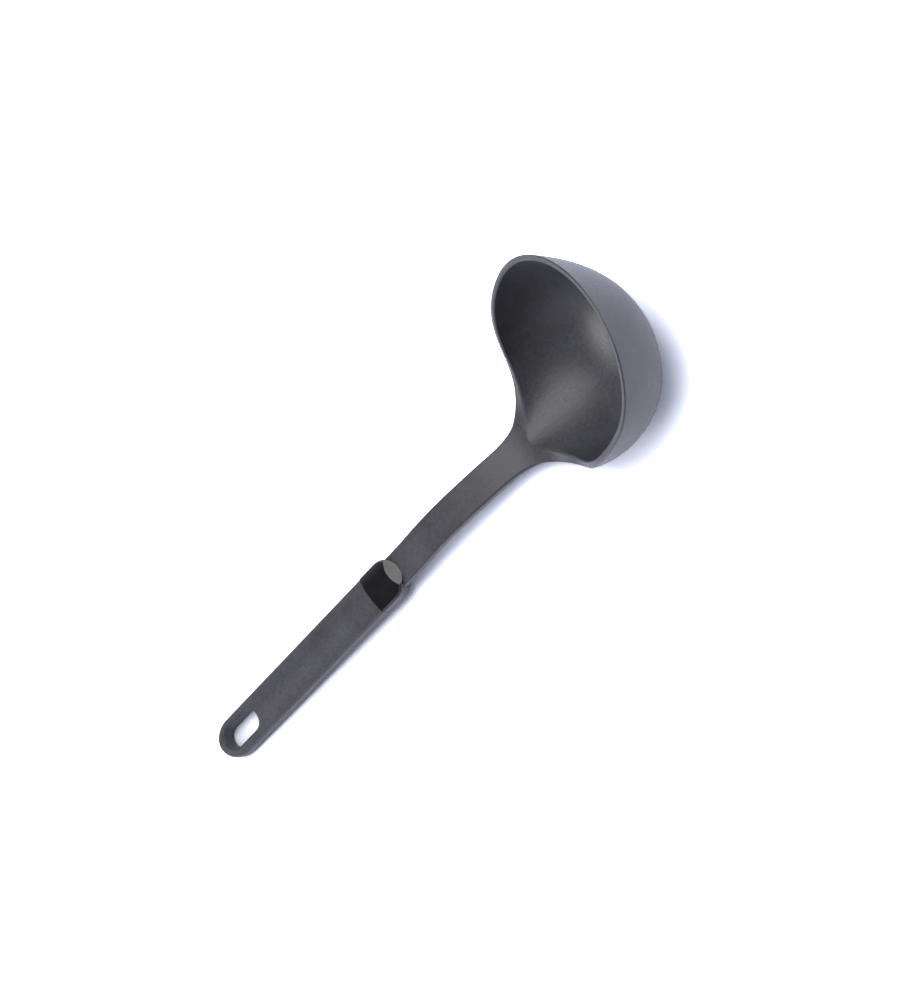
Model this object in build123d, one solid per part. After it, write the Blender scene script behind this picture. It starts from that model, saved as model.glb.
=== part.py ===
"""Soup ladle of dark moulded nylon, lying on the bowl's round underside and the handle's end.

Two working frames are used. The bowl's frame has its origin in the middle of the rim's round front,
X forwards over the lip and Z out of the bowl. The handle's frame starts at the collar's front on the line
of the handle's top edges, X towards the hanging end and Z out of the handle's top. The finished pieces
are laid on the floor, Z up.
"""

import os
from math import atan2, cos, degrees, pi, radians, sin

from build123d import *

os.makedirs("parts", exist_ok=True)

# Bowl
rim_radius = 45.0
bowl_depth = 46.0
wall = 2.6
floor_skin = 2.8
lip_bevel = 0.6
bottom_setback = 14.2

# Throat: the tail that the bowl reaches back with, on the way to the shank
throat_length = 39.5
throat_skin = 5.2
flank_reach_share = 0.93
waist_reach_share = 0.79
waist_draw_share = 1.03
tip_draw_share = 0.75

# The bowl's levels from the rim down to the bottom: depth, radius, setback, reach of the tail, pinch of its waist
depth_shares = (0, 0.459, 0.976, 1, 1)
radius_shares = (1, 1.011, 0.775, 0.347, 0)
setback_shares = (0, 0.978, 1.106, 0.95, 1)
reach_shares = (1, -0.077, -0.065, 0.039, 0)
pinch_shares = (1, -0.677, 0.497, -0.379, 0)

# Rim seen from the side: flat in front, dipping to the throat, then climbing the shank
dip_start_share = 0.067
slope_back_share = 0.947
slope_drop = 8.2
dip_behind_bowl = 12.0
dip_drop = 12.0
climb_behind_bowl = 26.0
climb_drop = 6.3
neck_behind_bowl = 35.0
neck_rise = 2.6
bend_behind_bowl = 49.4
bend_rise = 15.9
arch_behind_bowl = 70.0
arch_rise = 31.0

# Shank
shank_width = 15.7
shank_thickness = 4.2
shank_round = 1.0
root_thickness = 2.6
root_share = 0.415
flare_behind_bowl = 37.5
flare_radius = 24.0
flare_angle = 40.0

# Handle as a whole, collar and grip together
handle_behind_bowl = 91.5
handle_rise = 43.0
handle_angle = 31.2
handle_width = 19.0
handle_crown = 2.0
handle_front_side = 7.6
handle_end_side = 6.0
top_edge_bevel = 0.8
under_edge_bevel = 1.0

# Collar
collar_length = 19.0
collar_proud = 0.3
facet_length = 4.4
facet_drop = 2.5
seam_bevel = 0.3
shank_below_edge = 0.7
mouth_depth = 7.0
web_thickness = 1.0

# Grip
grip_length = 110.8
slot_length = 22.0
slot_width = 10.6
slot_wall = 4.2
slot_bevel = 1.0

# Joint between shank and grip, hidden by the collar
fit_gap = 0.1
nose_width = 13.0
nose_thickness = 6.0
tang_width = 9.0
tang_thickness = 3.0
tang_length = 52.0
tang_round = 1.2
pin_diameter = 2.5
pin_back = 6.0

# Handles of a curve that draws a quarter circle
arc_handle_share = 0.414
arc_shoulder_share = 0.776

# How far a cut runs past what it cuts, and how near counts as touching
overrun = 5.0
touch = 0.01

# Steps in working out how the ladle comes to rest
back_steps = 200
halvings = 40

handle_length = collar_length + grip_length
ceiling = handle_rise + handle_width


def level_handles(level, depth, inset, tail, side):
    """Handles of the bowl's curve at one level and side: the front quarter, then the flank back to the tail."""
    radius = (rim_radius - inset) * radius_shares[level]
    middle = -bottom_setback * setback_shares[level]
    reach = tail * reach_shares[level]
    arm = arc_handle_share * radius
    shoulder = arc_shoulder_share * radius
    waist_x = middle - shoulder - waist_reach_share * reach
    waist_y = shoulder * (1 - waist_draw_share * pinch_shares[level])
    tip = middle - radius - reach
    tip_y = arm * (1 - tip_draw_share * pinch_shares[level])
    front = [(radius, 0), (radius, arm), (shoulder, shoulder), (arm, radius), (0, radius)]
    flank = [(middle, radius), (middle - arm - flank_reach_share * reach, radius)]
    flank += [(waist_x, waist_y), (tip, tip_y), (tip, 0)]
    quarters = [(middle + x, y) for x, y in front], flank
    return [[Vector(x, side * y, -depth * depth_shares[level]) for x, y in quarter] for quarter in quarters]


def bowl_form(depth, inset, tail):
    """The bowl's closed form: four smooth quarters that hang from the rim's plane and meet at the bottom."""
    quarters = []
    for side in (1, -1):
        levels = [level_handles(level, depth, inset, tail, side) for level in range(len(depth_shares))]
        quarters += zip(*levels)
    walls = [Face.make_bezier_surface(quarter) for quarter in quarters]
    lid = make_face([Bezier(*quarter[0]) for quarter in quarters])
    return Solid(Shell(walls + lid.faces()))


def handle_frame():
    """The handle's own frame: origin at the collar's front, X to the hanging end, Z out of the top."""
    slope = radians(handle_angle)
    origin = (-rim_radius - handle_behind_bowl, 0, handle_rise)
    return Plane(origin=origin, x_dir=(-cos(slope), 0, sin(slope)), z_dir=(sin(slope), 0, cos(slope)))


def bar(start, end, width, low, high):
    """A plain bar in the handle's frame, between two places along the handle and two heights."""
    box = Box(end - start, width, high - low, align=(Align.MIN, Align.CENTER, Align.MIN))
    return Pos(start, 0, low) * box


def along_handle(distance, height):
    """A point of the side view, given along the handle and out of its top."""
    point = handle_frame().from_local_coords(Vector(distance, 0, height))
    return point.X, point.Z


def top_curve():
    """Rim, throat and shank seen from the side, from the rim's flat front to the collar."""
    slope = radians(handle_angle)
    stations = [
        (-dip_start_share * rim_radius, 0),
        (-slope_back_share * rim_radius, -slope_drop),
        (-rim_radius - dip_behind_bowl, -dip_drop),
        (-rim_radius - climb_behind_bowl, -climb_drop),
        (-rim_radius - neck_behind_bowl, neck_rise),
        (-rim_radius - bend_behind_bowl, bend_rise),
        (-rim_radius - arch_behind_bowl, arch_rise),
        along_handle(0, -shank_below_edge),
    ]
    return Spline(*stations, tangents=[(-1, 0), (-cos(slope), sin(slope))])


def space_above():
    """Everything above the rim, the throat's lip and the shank's top."""
    front = rim_radius + overrun
    back = along_handle(mouth_depth + handle_width, -shank_below_edge)
    with BuildSketch(Plane.XZ) as side:
        with BuildLine():
            top = top_curve()
            Polyline(top @ 1, back, (back[0], ceiling), (front, ceiling), (front, 0), top @ 0)
        make_face()
    return extrude(side.sketch, front, both=True)


def under_curve():
    """The shank's underside, below its top and nearer to it inside the throat's wall, up to the collar."""
    top = top_curve()
    thicknesses = [root_thickness, (root_thickness + shank_thickness) / 2] + 5 * [shank_thickness]
    points = []
    for step, thickness in enumerate(thicknesses):
        share = root_share + (1 - root_share) * step / (len(thicknesses) - 1)
        along = (top % share).normalized()
        points.append(top @ share + Vector(-along.Y, along.X) * thickness)
    return Spline(*points, tangents=[top % root_share, top % 1])


def flare_plan():
    """The shank from above: straight sides that open into the throat in a round neck."""
    half = shank_width / 2
    start = -rim_radius - flare_behind_bowl
    past_end = start - handle_behind_bowl
    turns = [radians(flare_angle) * share for share in (0, 1 / 2, 1)]
    neck = [(start + flare_radius * sin(turn), half + flare_radius * (1 - cos(turn))) for turn in turns]
    with BuildSketch(Plane.XY.offset(-rim_radius)) as plan:
        with BuildLine():
            side = [Line((past_end, half), neck[0]), ThreePointArc(*neck)]
            mirror(side, about=Plane.XZ)
            Line((past_end, -half), (past_end, half))
            Line(neck[2], (neck[2][0], -neck[2][1]))
        make_face()
    return plan.sketch


def shank(above):
    """The flat shank with rounded edges, from its shoulder in the collar down into the throat's wall."""
    under = under_curve()
    back = along_handle(mouth_depth + overrun, -shank_below_edge - shank_thickness)
    with BuildSketch(Plane.XZ) as side:
        with BuildLine():
            add(under)
            Polyline(under @ 1, back, (back[0], ceiling), ((under @ 0).X, ceiling), under @ 0)
        make_face()
    slab = extrude(side.sketch, rim_radius, both=True) & extrude(flare_plan(), rim_radius + ceiling)
    behind_shoulder = bar(mouth_depth, mouth_depth + handle_length, rim_radius, -rim_radius, rim_radius)
    slab -= handle_frame().location * behind_shoulder
    slab -= above
    rounded = [
        edge
        for edge in slab.edges()
        if abs((edge @ 0.5).Y) > shank_width / 4 and edge.bounding_box().size.X > shank_thickness
    ]
    return fillet(rounded, shank_round)


def tang_middle():
    """Height of the tang's middle plane in the handle's frame, which is the shank's own."""
    return -shank_below_edge - shank_thickness / 2


def pin_hole():
    """The hole that the pin passes through, in the handle's frame."""
    hole = Cylinder((pin_diameter + fit_gap) / 2, nose_thickness + overrun)
    return Pos(mouth_depth + pin_back, 0, tang_middle()) * hole


def tang():
    """The tongue behind the shank's shoulder that the grip is pushed onto, with its pin hole."""
    low = tang_middle() - tang_thickness / 2
    end = mouth_depth + tang_length
    tongue = bar(mouth_depth - shank_round, end, tang_width, low, low + tang_thickness)
    tongue = fillet(tongue.edges().filter_by(Axis.Z).group_by(Axis.X)[-1], tang_round)
    return tongue - pin_hole()


def bowl_and_shank():
    """The moulding: the bowl's wall with its bevelled lip, the shank and the tang."""
    above = space_above()
    outside = bowl_form(bowl_depth, 0, throat_length)
    inside = bowl_form(bowl_depth - floor_skin, wall, throat_length - throat_skin)
    cup = outside - above - inside
    lip = [
        edge
        for edge in cup.edges()
        if above.distance_to(Vertex(edge @ 0.5)) < touch
        and min(edge.bounding_box().size.X, edge.bounding_box().size.Y) > touch
    ]
    cup = chamfer(lip, lip_bevel)
    return cup + (shank(above) - inside) + handle_frame().location * tang()


def under_frame():
    """The underside's frame within the handle's: it starts below the front and rises to the hanging end."""
    rise = degrees(atan2(handle_front_side - handle_end_side, handle_length))
    return Pos(0, 0, -handle_front_side) * Rot(0, -rise, 0)


def handle_form(proud):
    """Collar and grip in one: full-round ends, sides square to the rising underside, and a crowned top."""
    plan = Pos(handle_length / 2, 0) * SlotOverall(handle_length + 2 * proud, handle_width + 2 * proud)
    form = under_frame() * Pos(0, 0, -proud) * extrude(plan, 2 * handle_width)
    crown_radius = (handle_width**2 / 4 + handle_crown**2) / (2 * handle_crown)
    crown = Cylinder(crown_radius + proud, handle_length + 2 * overrun, rotation=(0, 90, 0))
    form &= Pos(handle_length / 2, 0, handle_crown - crown_radius) * crown
    form = chamfer(form.faces().sort_by(Axis.Z)[-1].edges(), top_edge_bevel)
    return chamfer(form.faces().sort_by(Axis.Z)[0].edges(), under_edge_bevel)


def collar():
    """The sleeve over the joint: round front, bevelled facet, mouth for the shank, hollow for the nose."""
    sleeve = split(handle_form(collar_proud), bisect_by=Plane.YZ.offset(collar_length), keep=Keep.BOTTOM)
    sleeve = chamfer(sleeve.faces().sort_by(Axis.X)[-1].edges(), seam_bevel)
    reach = 1 + overrun / facet_length
    with BuildSketch(Plane.XZ) as side:
        with BuildLine():
            Polyline(
                (facet_length * reach, handle_crown + facet_drop * (reach - 1)),
                (facet_length * (1 - reach), handle_crown - facet_drop * reach),
                (facet_length * (1 - reach), handle_crown + facet_drop * (reach - 1)),
                close=True,
            )
        make_face()
    sleeve -= extrude(side.sketch, handle_width, both=True)
    mouth_low = -shank_below_edge - shank_thickness - fit_gap
    mouth_high = fit_gap - shank_below_edge
    sleeve -= bar(-overrun, mouth_depth, shank_width + 2 * fit_gap, mouth_low, mouth_high)
    nose_front = mouth_depth + web_thickness
    nose_low = tang_middle() - nose_thickness / 2 - fit_gap
    nose_high = tang_middle() + nose_thickness / 2 + fit_gap
    sleeve -= bar(nose_front, collar_length + overrun, nose_width + 2 * fit_gap, nose_low, nose_high)
    return sleeve - tang_socket(0)


def tang_socket(start):
    """The room that the tang takes, with its clearance, from a place along the handle."""
    half = tang_thickness / 2 + fit_gap
    end = mouth_depth + tang_length + fit_gap
    return bar(start, end, tang_width + 2 * fit_gap, tang_middle() - half, tang_middle() + half)


def grip():
    """The grip: a nose inside the collar, the socket for the tang and the bevelled hanging slot."""
    body = split(handle_form(0), bisect_by=Plane.YZ.offset(collar_length), keep=Keep.TOP)
    body = chamfer(body.faces().sort_by(Axis.X)[0].edges(), seam_bevel)
    slot_middle = handle_length - slot_wall - slot_length / 2
    slot = extrude(SlotOverall(slot_length, slot_width), 2 * handle_width, both=True)
    cutter = under_frame() * Pos(slot_middle, 0) * slot
    body -= cutter
    slot_edges = [
        edge
        for edge in body.edges()
        if cutter.distance_to(Vertex(edge @ 0.5)) < touch and abs((edge % 0.5).Z) < cos(radians(45))
    ]
    body = chamfer(slot_edges, slot_bevel)
    nose_front = mouth_depth + web_thickness + fit_gap
    half = nose_thickness / 2
    body += bar(nose_front, collar_length + overrun, nose_width, tang_middle() - half, tang_middle() + half)
    return body - tang_socket(mouth_depth) - pin_hole()


def tang_pin():
    """The plain pin that holds the tang in the nose, flush with the nose above and below."""
    return Pos(mouth_depth + pin_back, 0, tang_middle()) * Cylinder(pin_diameter / 2, nose_thickness)


def back_points():
    """Points down the middle of the bowl's back, where it touches the floor."""
    levels = range(len(depth_shares))
    tips = [level_handles(level, bowl_depth, 0, throat_length, 1)[1][-1] for level in levels]
    back = Bezier(*tips)
    return [back @ (step / back_steps) for step in range(back_steps + 1)]


def bowl_low(tilt, points):
    """Height of the lowest of these points, at a tilt in radians."""
    return min(sin(tilt) * point.X + cos(tilt) * point.Z for point in points)


def heel_low(tilt):
    """Height of the lower corner of the bevel under the hanging end, at a tilt in radians."""
    corners = (handle_length - under_edge_bevel, 0, 0), (handle_length, 0, under_edge_bevel)
    heel = [handle_frame().from_local_coords((under_frame() * Pos(*corner)).position) for corner in corners]
    return min(sin(tilt) * point.X + cos(tilt) * point.Z for point in heel)


def rest_tilt():
    """The tilt, in radians, at which bowl and heel touch the floor together."""
    points = back_points()
    flat, steep = 0, pi / 2
    for _ in range(halvings):
        tilt = (flat + steep) / 2
        if heel_low(tilt) > bowl_low(tilt, points):
            flat = tilt
        else:
            steep = tilt
    return tilt


pieces = {
    "bowl_and_shank": bowl_and_shank(),
    "collar": handle_frame().location * collar(),
    "grip": handle_frame().location * grip(),
    "tang_pin": handle_frame().location * tang_pin(),
}
lean = Rot(0, -degrees(rest_tilt()), 0)
laid = {name: lean * piece for name, piece in pieces.items()}
boxes = [piece.bounding_box() for piece in laid.values()]
middle = (min(box.min.X for box in boxes) + max(box.max.X for box in boxes)) / 2
floor = min(box.min.Z for box in boxes)
for name, piece in laid.items():
    export_step(Pos(-middle, 0, -floor) * piece, f"parts/{name}.step")
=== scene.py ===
"""Soup ladle in dark moulded nylon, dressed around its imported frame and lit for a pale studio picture.

The file is laid out as an add-on. Property groups hold the sizes and colours that a user would change, one
operator finishes each piece or group of pieces, one builds the studio, and a panel in the 3D view's sidebar
lists them.
"""

from math import cos, radians, sin

import bpy
from bpy.props import FloatProperty, FloatVectorProperty, PointerProperty
from mathutils import Matrix, Vector

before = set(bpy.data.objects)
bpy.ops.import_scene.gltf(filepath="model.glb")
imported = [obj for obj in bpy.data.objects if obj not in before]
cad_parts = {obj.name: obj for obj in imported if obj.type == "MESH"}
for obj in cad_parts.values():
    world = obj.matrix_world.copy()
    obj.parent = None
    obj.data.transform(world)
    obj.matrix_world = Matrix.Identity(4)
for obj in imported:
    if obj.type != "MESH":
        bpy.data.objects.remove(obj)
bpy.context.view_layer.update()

bl_info = {
    "name": "Soup Ladle",
    "version": (1, 0, 0),
    "blender": (4, 5, 0),
    "location": "View3D > Sidebar > Ladle",
    "description": "Finishes the pieces of a moulded soup ladle and lights them in a pale studio",
    "category": "Object",
}

# Numbers of a colour mix's inputs, and of its result among its outputs
MIX_FACTOR, MIX_FIRST, MIX_SECOND, MIX_RESULT = 0, 6, 7, 2

# Numbers of a map range's inputs
FROM_LOW, FROM_HIGH, TO_LOW, TO_HIGH = 1, 2, 3, 4

# Where most of a noise lies
NOISE_LOW, NOISE_HIGH = 0.3, 0.7

# Refraction of both plastics, which is typical of nylon and of ABS
PLASTIC_IOR = 1.53

# How finely the noises of the finishes are broken up
CLOUD_NOISE = {"Detail": 3.0, "Roughness": 0.6}
GRAIN_NOISE = {"Detail": 2.0, "Roughness": 0.55}
RIPPLE_NOISE = {"Detail": 1.0, "Roughness": 0.4}
LINE_NOISE = {"Detail": 1.0}

# How dark and how light the grain's dimples make the nylon
GRAIN_DARK, GRAIN_LIGHT = 0.86, 1.14

# Least and most roughness of each finish
NYLON_ROUGHNESS = (0.36, 0.46)
ABS_ROUGHNESS = (0.14, 0.2)
STEEL_ROUGHNESS = (0.28, 0.4)

# Width of a drawing line as a share of its length, and its depth as a share of its width
LINE_WIDTH_SHARE = 0.05
LINE_DEPTH_SHARE = 0.05

WHITE = (1, 1, 1, 1)


def linear(hex_colour):
    """An sRGB hex value as linear red, green and blue."""
    shares = [int(hex_colour[place : place + 2], 16) / 255 for place in (1, 3, 5)]
    return [share / 12.92 if share <= 0.04045 else ((share + 0.055) / 1.055) ** 2.4 for share in shares]


class LadleFinish(bpy.types.PropertyGroup):
    """Colours and surface sizes of the ladle's three materials."""

    nylon_colour: FloatVectorProperty(
        name="Nylon",
        description="Colour of the moulded nylon",
        subtype="COLOR",
        default=linear("#3A373D"),
    )
    nylon_cloud_colour: FloatVectorProperty(
        name="Nylon clouds",
        description="Colour of the greyer clouds that glass fibre leaves in the nylon",
        subtype="COLOR",
        default=linear("#42434A"),
    )
    nylon_cloud: FloatProperty(
        name="Cloud size", description="Width of one cloud in the nylon", default=0.012, unit="LENGTH"
    )
    nylon_grain: FloatProperty(
        name="Grain size",
        description="Width of one dimple of the mould's grain",
        default=0.0014,
        unit="LENGTH",
    )
    nylon_grain_depth: FloatProperty(
        name="Grain depth",
        description="Depth of one dimple of the mould's grain",
        default=0.00005,
        unit="LENGTH",
    )
    collar_colour: FloatVectorProperty(
        name="Collar",
        description="Colour of the polished collar",
        subtype="COLOR",
        default=linear("#131014"),
    )
    collar_ripple: FloatProperty(
        name="Collar ripple",
        description="Width of one soft ripple in the polish",
        default=0.004,
        unit="LENGTH",
    )
    collar_ripple_depth: FloatProperty(
        name="Collar ripple depth",
        description="Depth of one ripple in the polish",
        default=0.00002,
        unit="LENGTH",
    )
    steel_colour: FloatVectorProperty(
        name="Pin",
        description="Colour of the drawn steel pin",
        subtype="COLOR",
        default=linear("#C9C8C4"),
    )
    steel_line: FloatProperty(
        name="Drawing lines",
        description="Width of one drawing line on the pin",
        default=0.0002,
        unit="LENGTH",
    )


class LadleStudio(bpy.types.PropertyGroup):
    """The floor, the surroundings, the lamps and the camera."""

    floor_colour: FloatVectorProperty(
        name="Floor", description="Colour of the studio floor", subtype="COLOR", default=linear("#E6EAF6")
    )
    floor_size: FloatProperty(
        name="Floor size",
        description="Side of the floor",
        default=8.0,
        unit="LENGTH",
    )
    floor_gain: FloatProperty(
        name="Floor gain",
        description="How much lighter than its colour the camera sees the floor",
        default=3.4,
    )
    floor_sheen: FloatProperty(
        name="Floor in reflections",
        description="Share of that gain that its reflections show",
        default=0.3,
    )
    # Reach of the contact shadow that ambient occlusion paints into the floor's colour
    floor_painted_shadow_reach: FloatProperty(
        name="Contact shadow",
        description="Reach of the dark shadow at a contact",
        default=0.022,
        unit="LENGTH",
    )
    wall_colour: FloatVectorProperty(
        name="Surroundings",
        description="Colour of the pale surroundings",
        subtype="COLOR",
        default=(0.86, 0.89, 1.0),
    )
    wall_light: FloatProperty(name="Low light", description="Light from near the horizon", default=1.0)
    ceiling_light: FloatProperty(name="High light", description="Light from overhead", default=0.2)
    wall_top: FloatProperty(
        name="Wall top",
        description="Angle where the pale surroundings end",
        default=radians(14),
        unit="ROTATION",
    )
    ceiling_start: FloatProperty(
        name="Ceiling start",
        description="Angle where the dark ceiling starts",
        default=radians(38),
        unit="ROTATION",
    )
    lamp_distance: FloatProperty(
        name="Lamp distance", description="From the ladle to each lamp", default=1.6, unit="LENGTH"
    )
    key_direction: FloatVectorProperty(
        name="Key direction",
        description="Where the main lamp hangs",
        subtype="XYZ",
        default=(0.2, 0.12, 0.94),
    )
    key_size: FloatProperty(
        name="Key size",
        description="Side of the main lamp",
        default=1.25,
        unit="LENGTH",
    )
    key_power: FloatProperty(
        name="Key power",
        description="Power of the main lamp",
        default=20.0,
        unit="POWER",
    )
    fill_direction: FloatVectorProperty(
        name="Fill direction",
        description="Where the low lamp stands",
        subtype="XYZ",
        default=(-0.88, 0.05, 0.42),
    )
    fill_size: FloatProperty(
        name="Fill size",
        description="Side of the low lamp",
        default=0.8,
        unit="LENGTH",
    )
    fill_power: FloatProperty(
        name="Fill power",
        description="Power of the low lamp",
        default=12.0,
        unit="POWER",
    )
    camera_azimuth: FloatProperty(
        name="Azimuth",
        description="Direction that the camera stands in",
        default=radians(48.32),
        unit="ROTATION",
    )
    camera_elevation: FloatProperty(
        name="Elevation",
        description="Height of the camera as an angle",
        default=radians(58.745),
        unit="ROTATION",
    )
    camera_roll: FloatProperty(
        name="Roll",
        description="Turn of the camera about its line of sight",
        default=radians(-88.67),
        unit="ROTATION",
    )
    camera_distance: FloatProperty(
        name="Distance",
        description="From the camera to the point that it looks at",
        default=1.4644,
        unit="LENGTH",
    )
    camera_target: FloatVectorProperty(
        name="Target",
        description="Point that the camera looks at",
        subtype="XYZ",
        default=(0.02428, -0.00071, 0.02871),
    )
    camera_lens: FloatProperty(name="Lens", description="Focal length in millimetres", default=121.98)
    camera_sensor: FloatProperty(
        name="Sensor",
        description="Long side of the picture in millimetres",
        default=36.0,
    )


def add_node(tree, kind, settings):
    """Adds a node and sets its options and inputs. An input whose value is a socket is linked to it."""
    node = tree.nodes.new(kind)
    for key, value in settings.items():
        if isinstance(key, str) and key not in node.inputs:
            setattr(node, key, value)
        elif isinstance(value, bpy.types.NodeSocket):
            tree.links.new(node.inputs[key], value)
        else:
            node.inputs[key].default_value = value
    return node


def new_material(name):
    """An empty material and its node tree."""
    material = bpy.data.materials.new(name)
    material.use_nodes = True
    material.node_tree.nodes.clear()
    return material, material.node_tree


def spread(tree, source, low, high):
    """Stretches the middle of a noise over a range of values."""
    limits = {FROM_LOW: NOISE_LOW, FROM_HIGH: NOISE_HIGH, TO_LOW: low, TO_HIGH: high}
    return add_node(tree, "ShaderNodeMapRange", {"Value": source, **limits}).outputs["Result"]


def moulded_nylon(finish):
    """Glass-filled nylon, injection moulded in a spark-eroded mould: dark, satin and faintly cloudy.

    The fibres at the skin leave greyer clouds. The mould's grain breaks the sheen up into a fine mottle,
    and it is drawn about three times as coarse as the real one, which would be too fine to show.
    """
    material, tree = new_material("moulded_nylon")
    place = add_node(tree, "ShaderNodeTexCoord", {}).outputs["Object"]
    clouds = add_node(
        tree,
        "ShaderNodeTexNoise",
        {"Vector": place, "Scale": 1 / finish.nylon_cloud, **CLOUD_NOISE},
    ).outputs["Fac"]
    grain = add_node(
        tree,
        "ShaderNodeTexNoise",
        {"Vector": place, "Scale": 1 / finish.nylon_grain, **GRAIN_NOISE},
    ).outputs["Fac"]
    cloudy = add_node(
        tree,
        "ShaderNodeMix",
        {
            "data_type": "RGBA",
            MIX_FACTOR: spread(tree, clouds, 0.0, 1.0),
            MIX_FIRST: (*finish.nylon_colour, 1),
            MIX_SECOND: (*finish.nylon_cloud_colour, 1),
        },
    ).outputs[MIX_RESULT]
    colour = add_node(
        tree,
        "ShaderNodeHueSaturation",
        {"Color": cloudy, "Value": spread(tree, grain, GRAIN_DARK, GRAIN_LIGHT)},
    ).outputs["Color"]
    bump = add_node(
        tree, "ShaderNodeBump", {"Height": grain, "Strength": 1.0, "Distance": finish.nylon_grain_depth}
    ).outputs["Normal"]
    shader = add_node(
        tree,
        "ShaderNodeBsdfPrincipled",
        {
            "Base Color": colour,
            "Roughness": spread(tree, grain, *NYLON_ROUGHNESS),
            "IOR": PLASTIC_IOR,
            "Normal": bump,
        },
    )
    add_node(tree, "ShaderNodeOutputMaterial", {"Surface": shader.outputs["BSDF"]})
    return material


def polished_abs(finish):
    """ABS moulded against polished steel: near black and glossy, with the soft ripple of its shrinkage."""
    material, tree = new_material("polished_abs")
    place = add_node(tree, "ShaderNodeTexCoord", {}).outputs["Object"]
    ripple = add_node(
        tree,
        "ShaderNodeTexNoise",
        {"Vector": place, "Scale": 1 / finish.collar_ripple, **RIPPLE_NOISE},
    ).outputs["Fac"]
    bump = add_node(
        tree, "ShaderNodeBump", {"Height": ripple, "Strength": 1.0, "Distance": finish.collar_ripple_depth}
    ).outputs["Normal"]
    shader = add_node(
        tree,
        "ShaderNodeBsdfPrincipled",
        {
            "Base Color": (*finish.collar_colour, 1),
            "Roughness": spread(tree, ripple, *ABS_ROUGHNESS),
            "IOR": PLASTIC_IOR,
            "Normal": bump,
        },
    )
    add_node(tree, "ShaderNodeOutputMaterial", {"Surface": shader.outputs["BSDF"]})
    return material


def drawn_steel(finish):
    """Mild steel wire, drawn through a die: grey metal with fine lines along the pin."""
    material, tree = new_material("drawn_steel")
    place = add_node(tree, "ShaderNodeTexCoord", {}).outputs["Object"]
    squeezed = add_node(
        tree, "ShaderNodeMapping", {"Vector": place, "Scale": (1, 1, LINE_WIDTH_SHARE)}
    ).outputs["Vector"]
    lines = add_node(
        tree, "ShaderNodeTexNoise", {"Vector": squeezed, "Scale": 1 / finish.steel_line, **LINE_NOISE}
    ).outputs["Fac"]
    bump = add_node(
        tree,
        "ShaderNodeBump",
        {"Height": lines, "Strength": 1.0, "Distance": finish.steel_line * LINE_DEPTH_SHARE},
    ).outputs["Normal"]
    shader = add_node(
        tree,
        "ShaderNodeBsdfPrincipled",
        {
            "Base Color": (*finish.steel_colour, 1),
            "Metallic": 1.0,
            "Roughness": spread(tree, lines, *STEEL_ROUGHNESS),
            "Normal": bump,
        },
    )
    add_node(tree, "ShaderNodeOutputMaterial", {"Surface": shader.outputs["BSDF"]})
    return material


def give_material(node, material):
    """Gives one of the ladle's pieces its finish."""
    for material_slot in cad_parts[node].material_slots:
        material_slot.material = material


class LADLE_OT_moulding(bpy.types.Operator):
    """Finishes the bowl and shank moulding and the grip in satin nylon"""

    bl_idname = "ladle.moulding"
    bl_label = "Nylon Mouldings"

    def execute(self, context):
        nylon = moulded_nylon(context.scene.ladle_finish)
        give_material("bowl_and_shank", nylon)
        give_material("grip", nylon)
        return {"FINISHED"}


class LADLE_OT_collar(bpy.types.Operator):
    """Finishes the collar in polished plastic"""

    bl_idname = "ladle.collar"
    bl_label = "Collar"

    def execute(self, context):
        give_material("collar", polished_abs(context.scene.ladle_finish))
        return {"FINISHED"}


class LADLE_OT_tang_pin(bpy.types.Operator):
    """Finishes the hidden cross pin in drawn steel"""

    bl_idname = "ladle.tang_pin"
    bl_label = "Tang Pin"

    def execute(self, context):
        give_material("tang_pin", drawn_steel(context.scene.ladle_finish))
        return {"FINISHED"}


def paper_floor(studio):
    """Matt white paper, overexposed for the camera as in a cut-out, so that only near shadows show."""
    material, tree = new_material("paper_floor")
    rays = add_node(tree, "ShaderNodeLightPath", {}).outputs
    share = add_node(
        tree,
        "ShaderNodeMath",
        {
            "operation": "MULTIPLY_ADD",
            0: rays["Is Glossy Ray"],
            1: studio.floor_sheen,
            2: rays["Is Camera Ray"],
        },
    ).outputs["Value"]
    paper = add_node(tree, "ShaderNodeBsdfDiffuse", {"Color": (*studio.floor_colour, 1)}).outputs["BSDF"]
    bright_colour = [studio.floor_gain * part for part in studio.floor_colour]
    # Painted contact shadow: ambient occlusion darkens the floor's bright colour near the ladle, over the
    # lamps' real shadow
    contact = add_node(
        tree, "ShaderNodeAmbientOcclusion", {"Color": (*bright_colour, 1), "Distance": studio.floor_painted_shadow_reach}
    ).outputs["Color"]
    bright = add_node(tree, "ShaderNodeBsdfDiffuse", {"Color": contact}).outputs["BSDF"]
    shader = add_node(tree, "ShaderNodeMixShader", {"Fac": share, 1: paper, 2: bright}).outputs["Shader"]
    add_node(tree, "ShaderNodeOutputMaterial", {"Surface": shader})
    return material


def add_floor(studio):
    """A flat floor of white paper under the ladle."""
    half = studio.floor_size / 2
    mesh = bpy.data.meshes.new("floor")
    corners = [(-half, -half, 0), (half, -half, 0), (half, half, 0), (-half, half, 0)]
    mesh.from_pydata(corners, [], [(0, 1, 2, 3)])
    mesh.materials.append(paper_floor(studio))
    floor = bpy.data.objects.new("floor", mesh)
    bpy.context.scene.collection.objects.link(floor)


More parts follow.
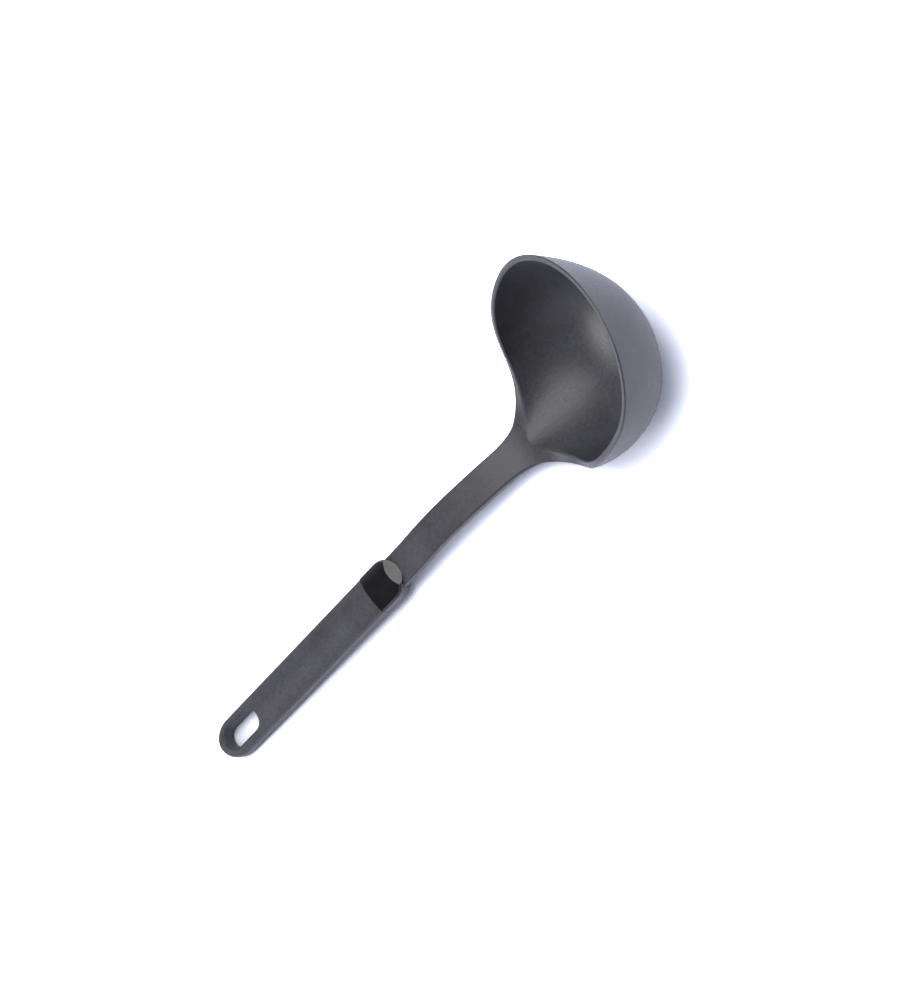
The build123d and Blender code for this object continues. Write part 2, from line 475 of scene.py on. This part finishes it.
def add_surroundings(studio):
    """Pale walls far round the floor, up to a dim ceiling. The camera sees plain white there."""
    world = bpy.data.worlds.new("studio")
    world.use_nodes = True
    tree = world.node_tree
    tree.nodes.clear()
    direction = add_node(tree, "ShaderNodeTexCoord", {}).outputs["Generated"]
    height = add_node(tree, "ShaderNodeSeparateXYZ", {"Vector": direction}).outputs["Z"]
    light = add_node(
        tree,
        "ShaderNodeMapRange",
        {
            "interpolation_type": "SMOOTHSTEP",
            "Value": height,
            FROM_LOW: sin(studio.wall_top),
            FROM_HIGH: sin(studio.ceiling_start),
            TO_LOW: studio.wall_light,
            TO_HIGH: studio.ceiling_light,
        },
    ).outputs["Result"]
    walls = add_node(tree, "ShaderNodeBackground", {"Color": (*studio.wall_colour, 1), "Strength": light})
    white = add_node(tree, "ShaderNodeBackground", {"Color": WHITE, "Strength": 1.0})
    light_path = add_node(tree, "ShaderNodeLightPath", {}).outputs["Is Camera Ray"]
    seen = add_node(
        tree,
        "ShaderNodeMixShader",
        {"Fac": light_path, 1: walls.outputs["Background"], 2: white.outputs["Background"]},
    )
    add_node(tree, "ShaderNodeOutputWorld", {"Surface": seen.outputs["Shader"]})
    bpy.context.scene.world = world


def add_lamp(studio, name, direction, size, power):
    """A square soft lamp that shines at the ladle."""
    target = Vector(studio.camera_target)
    away = Vector(direction).normalized()
    data = bpy.data.lights.new(name, "AREA")
    data.shape = "SQUARE"
    data.size = size
    data.energy = power
    lamp = bpy.data.objects.new(name, data)
    lamp.location = target + away * studio.lamp_distance
    lamp.rotation_euler = away.to_track_quat("Z", "Y").to_euler()
    bpy.context.scene.collection.objects.link(lamp)


def camera_axes(studio):
    """The camera's right, up and back directions."""
    azimuth, elevation, roll = studio.camera_azimuth, studio.camera_elevation, studio.camera_roll
    back = Vector((sin(azimuth) * cos(elevation), -cos(azimuth) * cos(elevation), sin(elevation)))
    level = Vector((cos(azimuth), sin(azimuth), 0))
    right = level * cos(roll) + back.cross(level) * sin(roll)
    return right, back.cross(right), back


def add_camera(studio):
    """The camera at the photograph's viewing angle."""
    right, up, back = camera_axes(studio)
    data = bpy.data.cameras.new("camera")
    data.sensor_width = studio.camera_sensor
    data.lens = studio.camera_lens
    camera = bpy.data.objects.new("camera", data)
    turn = Matrix((right, up, back)).transposed().to_4x4()
    place = Vector(studio.camera_target) + back * studio.camera_distance
    camera.matrix_world = Matrix.Translation(place) @ turn
    bpy.context.scene.collection.objects.link(camera)
    bpy.context.scene.camera = camera


class LADLE_OT_studio(bpy.types.Operator):
    """Builds the floor, the surroundings, the lamps and the camera"""

    bl_idname = "ladle.studio"
    bl_label = "Studio"

    def execute(self, context):
        studio = context.scene.ladle_studio
        add_floor(studio)
        add_surroundings(studio)
        add_lamp(studio, "key_lamp", studio.key_direction, studio.key_size, studio.key_power)
        add_lamp(studio, "fill_lamp", studio.fill_direction, studio.fill_size, studio.fill_power)
        add_camera(studio)
        context.scene.view_settings.view_transform = "Standard"
        return {"FINISHED"}


class LADLE_PT_panel(bpy.types.Panel):
    """Settings and buttons for the ladle's pieces and its studio"""

    bl_idname = "LADLE_PT_panel"
    bl_label = "Soup Ladle"
    bl_space_type = "VIEW_3D"
    bl_region_type = "UI"
    bl_category = "Ladle"

    def draw(self, context):
        for group in (context.scene.ladle_finish, context.scene.ladle_studio):
            box = self.layout.box()
            for name in group.__annotations__:
                box.prop(group, name)
        for operator in OPERATORS:
            self.layout.operator(operator.bl_idname)


OPERATORS = (LADLE_OT_moulding, LADLE_OT_collar, LADLE_OT_tang_pin, LADLE_OT_studio)
CLASSES = (LadleFinish, LadleStudio, *OPERATORS, LADLE_PT_panel)


def register():
    """Adds the classes and their settings."""
    for cls in CLASSES:
        bpy.utils.register_class(cls)
    bpy.types.Scene.ladle_finish = PointerProperty(type=LadleFinish)
    bpy.types.Scene.ladle_studio = PointerProperty(type=LadleStudio)


def unregister():
    """Takes the classes and their settings away."""
    del bpy.types.Scene.ladle_studio
    del bpy.types.Scene.ladle_finish
    for cls in reversed(CLASSES):
        bpy.utils.unregister_class(cls)


def main():
    """Runs every operator in order."""
    register()
    bpy.ops.ladle.moulding()
    bpy.ops.ladle.collar()
    bpy.ops.ladle.tang_pin()
    bpy.ops.ladle.studio()


if __name__ == "__main__":
    main()
